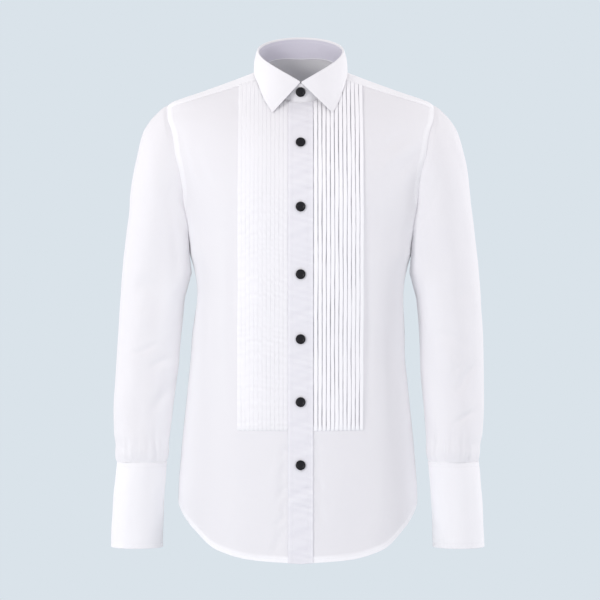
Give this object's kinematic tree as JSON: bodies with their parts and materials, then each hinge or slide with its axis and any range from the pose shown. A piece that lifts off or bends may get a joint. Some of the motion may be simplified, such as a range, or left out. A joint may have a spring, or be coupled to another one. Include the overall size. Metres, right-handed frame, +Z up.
{
  "type": "dress shirt",
  "caption": "Long-sleeved formal shirt in its hollow worn form, with a turn-down collar, a pleated bib front, a buttoned placket and long double cuffs.",
  "frame": {"origin": "on the centre plane at the height of the shoulder line beside the neck, in the plane of the side seams, where the wearer's shoulders hold the shirt up", "axes": "+Z up along the shirt's length, -Y towards its front, +X towards the wearer's left"},
  "size_m": [0.5374, 0.2471, 0.7639],
  "materials": {
    "white_cotton": "matt fine poplin",
    "black_plastic": "gloss"
  },
  "bodies": {
    "root": {"front_left": "white_cotton", "front_right": "white_cotton", "back": "white_cotton", "yoke": "white_cotton", "sleeve_left": "white_cotton", "sleeve_right": "white_cotton", "sleeve_placket_left": "white_cotton", "sleeve_placket_right": "white_cotton", "cuff_left": "white_cotton", "cuff_right": "white_cotton", "collar_stand": "white_cotton", "collar_leaf": "white_cotton", "placket": "white_cotton", "bib_left": "white_cotton", "bib_right": "white_cotton", "button_1": "black_plastic", "button_2": "black_plastic", "button_3": "black_plastic", "button_4": "black_plastic", "button_5": "black_plastic", "button_6": "black_plastic", "button_7": "black_plastic"}
  },
  "joints": []
}
